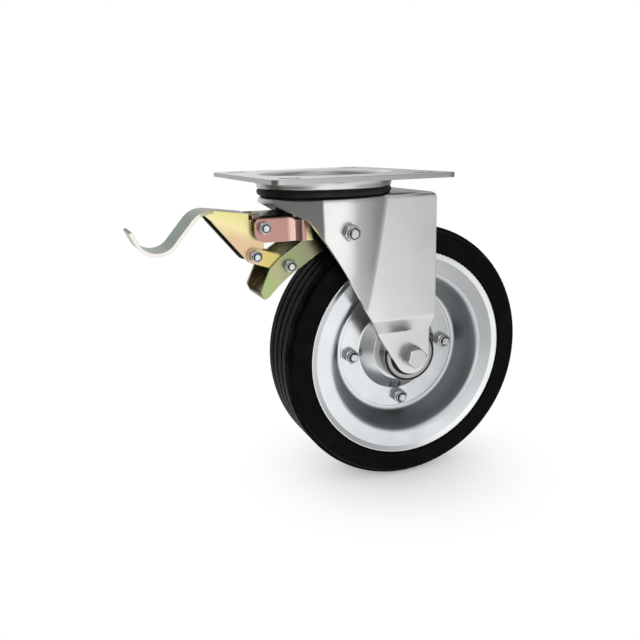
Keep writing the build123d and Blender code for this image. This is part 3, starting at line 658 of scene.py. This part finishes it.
def place_camera():
    """Sets the camera at the photograph's place and angle, left of the side view and looking down."""
    yaw = math.radians(-21.22)
    pitch = math.radians(14.10)
    roll = math.radians(-1.49)
    eye = Vector((-246.05, -615.7, 27.5)) * mm
    right = Vector((math.cos(yaw), math.sin(yaw), 0))
    ahead = Vector((-math.sin(yaw), math.cos(yaw), 0))
    sky = Vector((0, 0, 1))
    view = ahead * math.cos(pitch) - sky * math.sin(pitch)
    top = sky * math.cos(pitch) + ahead * math.sin(pitch)
    x_axis = right * math.cos(roll) + top * math.sin(roll)
    y_axis = top * math.cos(roll) - right * math.sin(roll)
    data = bpy.data.cameras.new("camera")
    data.sensor_width = 36.0
    data.lens = 40.03
    data.clip_start = 0.02
    camera = bpy.data.objects.new("camera", data)
    bpy.context.scene.collection.objects.link(camera)
    turn = Matrix((x_axis, y_axis, -view)).transposed().to_4x4()
    camera.matrix_world = Matrix.Translation(eye) @ turn
    bpy.context.scene.camera = camera


def area_light(name, place, target, size, power):
    """Adds a soft lamp, given as its width and height, that faces a point and isn't reflected."""
    data = bpy.data.lights.new(name, "AREA")
    data.shape = "RECTANGLE"
    data.size, data.size_y = size
    data.energy = power
    lamp = bpy.data.objects.new(name, data)
    lamp.visible_glossy = False
    bpy.context.scene.collection.objects.link(lamp)
    lamp.location = place
    lamp.rotation_euler = (Vector(target) - Vector(place)).to_track_quat("-Z", "Y").to_euler()


def light_scene():
    """White surround where it is looked at, a dimmer one that gives light, and three soft lamps."""
    world = bpy.data.worlds.new("studio")
    bpy.context.scene.world = world
    world.use_nodes = True
    tree = world.node_tree
    tree.nodes.clear()
    path = tree.nodes.new("ShaderNodeLightPath")
    seen = path.outputs["Is Camera Ray"]
    for ray in ("Is Glossy Ray", "Is Transmission Ray"):
        either = tree.nodes.new("ShaderNodeMath")
        either.operation = "MAXIMUM"
        tree.links.new(seen, either.inputs[0])
        tree.links.new(path.outputs[ray], either.inputs[1])
        seen = either.outputs[0]
    surround = tree.nodes.new("ShaderNodeMixShader")
    tree.links.new(seen, surround.inputs[0])
    lit = ((0.96, 0.98, 1.0, 1), 0.6)
    shown = ((1, 1, 1, 1), 1.0)
    for socket, (colour, strength) in zip(surround.inputs[1:], (lit, shown)):
        shade = tree.nodes.new("ShaderNodeBackground")
        shade.inputs[0].default_value = colour
        shade.inputs[1].default_value = strength
        tree.links.new(shade.outputs[0], socket)
    output = tree.nodes.new("ShaderNodeOutputWorld")
    tree.links.new(surround.outputs[0], output.inputs[0])
    area_light("key", (-0.35, -2.6, 0.95), (0, 0, -0.12), (2.8, 2.5), 28)
    area_light("fill", (2.3, -1.4, 1.0), (0.05, 0, -0.15), (2.2, 2.2), 6)
    area_light("back", (0.4, 2.4, 1.6), (0, 0, -0.1), (2.4, 2.0), 12)


def flag_mesh():
    """A bowl of cards round the set, from the floor to overhead."""
    floor_z = ground + 0.5 * mm
    profile = [(0.16, floor_z), (0.4, floor_z), (0.9, floor_z), (2.0, floor_z), (3.0, -0.28),
               (3.1, 0.4), (3.1, 1.5), (3.0, 3.0), (2.2, 4.2), (1.0, 4.9)]
    count = 72
    mesh = bmesh.new()
    rows = []
    for radius, height in profile:
        row = []
        for step in range(count):
            turn = 2 * math.pi * step / count
            row.append(mesh.verts.new((radius * math.cos(turn), radius * math.sin(turn), height)))
        rows.append(row)
    for low, high in zip(rows, rows[1:]):
        for step in range(count):
            after = (step + 1) % count
            mesh.faces.new((low[step], low[after], high[after], high[step]))
    data = bpy.data.meshes.new("flags")
    mesh.to_mesh(data)
    mesh.free()
    return data


def flag_cloth():
    """Card that is dark, clear or bright by its direction and height.

    Directions are in degrees round the set's middle, 0 to the front and 90 towards +X.
    """
    paint = Paint("flag cloth", 0.0, 1.0)
    spot = paint.split(paint.place)
    height = spot[2]
    reach = paint.size(spot[0], spot[1])
    turn = paint.math("ARCTAN2", spot[0], paint.times(spot[1], -1.0))
    turn = paint.plus(paint.math("DIVIDE", turn, 2 * math.pi), 0.5)

    def around(stops):
        """Gives a share by direction."""
        return paint.ramp(turn, [(0.5 + angle / 360, (share,) * 3) for angle, share in stops])

    dark_sides = around([(-180, 0.1), (-150, 0.4), (-125, 0.9), (-62, 0.95), (-50, 0.8), (-34, 0.0),
                         (18, 0.0), (26, 0.42), (34, 0.6), (55, 0.62), (80, 0.8), (120, 0.85),
                         (148, 0.62), (154, 0.42), (161, 0.12), (180, 0.1)])
    # On the floor the card thins out towards the wheel, most of all in one narrow direction.
    on_floor = paint.span(reach, 0.16, 0.7, 0.25, 1.0)
    elsewhere = around([(20, 1.0), (24, 0.0), (29, 0.0), (32, 1.0)])
    thin = paint.span(reach, 0.3, 2.2, 0.1, 1.0)
    on_floor = paint.math("MINIMUM", on_floor, paint.math("MAXIMUM", elsewhere, thin))
    full = paint.math("MAXIMUM", on_floor, paint.span(height, -0.29, -0.2))
    cover = paint.times(dark_sides, full)
    # Higher up it grows denser, up to the ceiling, but clearer behind the set.
    denser = paint.span(height, 0.8, 2.6, 1.0, 3.0)
    cover = paint.less(1.0, paint.math("POWER", paint.less(1.0, cover), denser))
    cover = paint.math("MAXIMUM", cover, paint.span(height, 3.5, 4.3, 0.0, 0.7))
    behind = around([(-180, 0.55), (-115, 0.55), (-85, 0.0), (75, 0.0), (105, 0.55), (180, 0.55)])
    cover = paint.times(cover, paint.less(1.0, paint.times(behind, paint.span(height, 0.9, 1.9))))
    # The bright window in front fades out overhead.
    window = around([(-45, 0.0), (-33, 1.0), (14, 1.0), (24, 0.0)])
    shine = paint.times(paint.times(window, paint.span(height, 1.4, 3.0, 1.0, 0.0)), full)
    cloth = paint.blend(cover, paint.add("ShaderNodeBsdfTransparent"), paint.glow(1.0, 0.11))
    paint.show(paint.blend(shine, cloth, paint.glow(1.2)))
    return paint.material


def studio_flags():
    """Soft cards round the set, seen only in reflections: dark at the sides, bright in front."""
    flags = bpy.data.objects.new("flags", flag_mesh())
    flags.location = (axle.x, 0, 0)
    bpy.context.scene.collection.objects.link(flags)
    flags.visible_camera = False
    flags.visible_diffuse = False
    flags.visible_shadow = False
    flags.data.materials.append(flag_cloth())


def pale_floor():
    """A pale floor under the wheel that fades into the white surround."""
    mesh = bmesh.new()
    bmesh.ops.create_grid(mesh, x_segments=8, y_segments=8, size=4.0)
    data = bpy.data.meshes.new("floor")
    mesh.to_mesh(data)
    mesh.free()
    floor = bpy.data.objects.new("floor", data)
    floor.location = (0, 0, ground - 0.1 * mm)
    bpy.context.scene.collection.objects.link(floor)
    paint = Paint("floor paper", 0.0, 0.9)
    paint.colour((0.93, 0.93, 0.93))
    paint.surface.inputs["Specular IOR Level"].default_value = 0.0
    far = paint.add("ShaderNodeVectorMath", operation="LENGTH")
    paint.feed(far.inputs[0], paint.shift(paint.place, (-axle.x, 0, 0)))
    fade = paint.span(far.outputs["Value"], -0.05, 0.17)
    path = paint.add("ShaderNodeLightPath")
    direct = paint.math("MAXIMUM", path.outputs["Is Camera Ray"], path.outputs["Is Glossy Ray"])
    direct = paint.math("MAXIMUM", direct, path.outputs["Is Transmission Ray"])
    paint.show(paint.blend(paint.times(fade, direct), paint.surface, paint.glow(1.0)))
    data.materials.append(paint.material)


add_lock_rings()
add_pedal_spring()
add_axle_thread()
place_camera()
light_scene()
studio_flags()
pale_floor()
bpy.context.scene.view_settings.view_transform = "Standard"
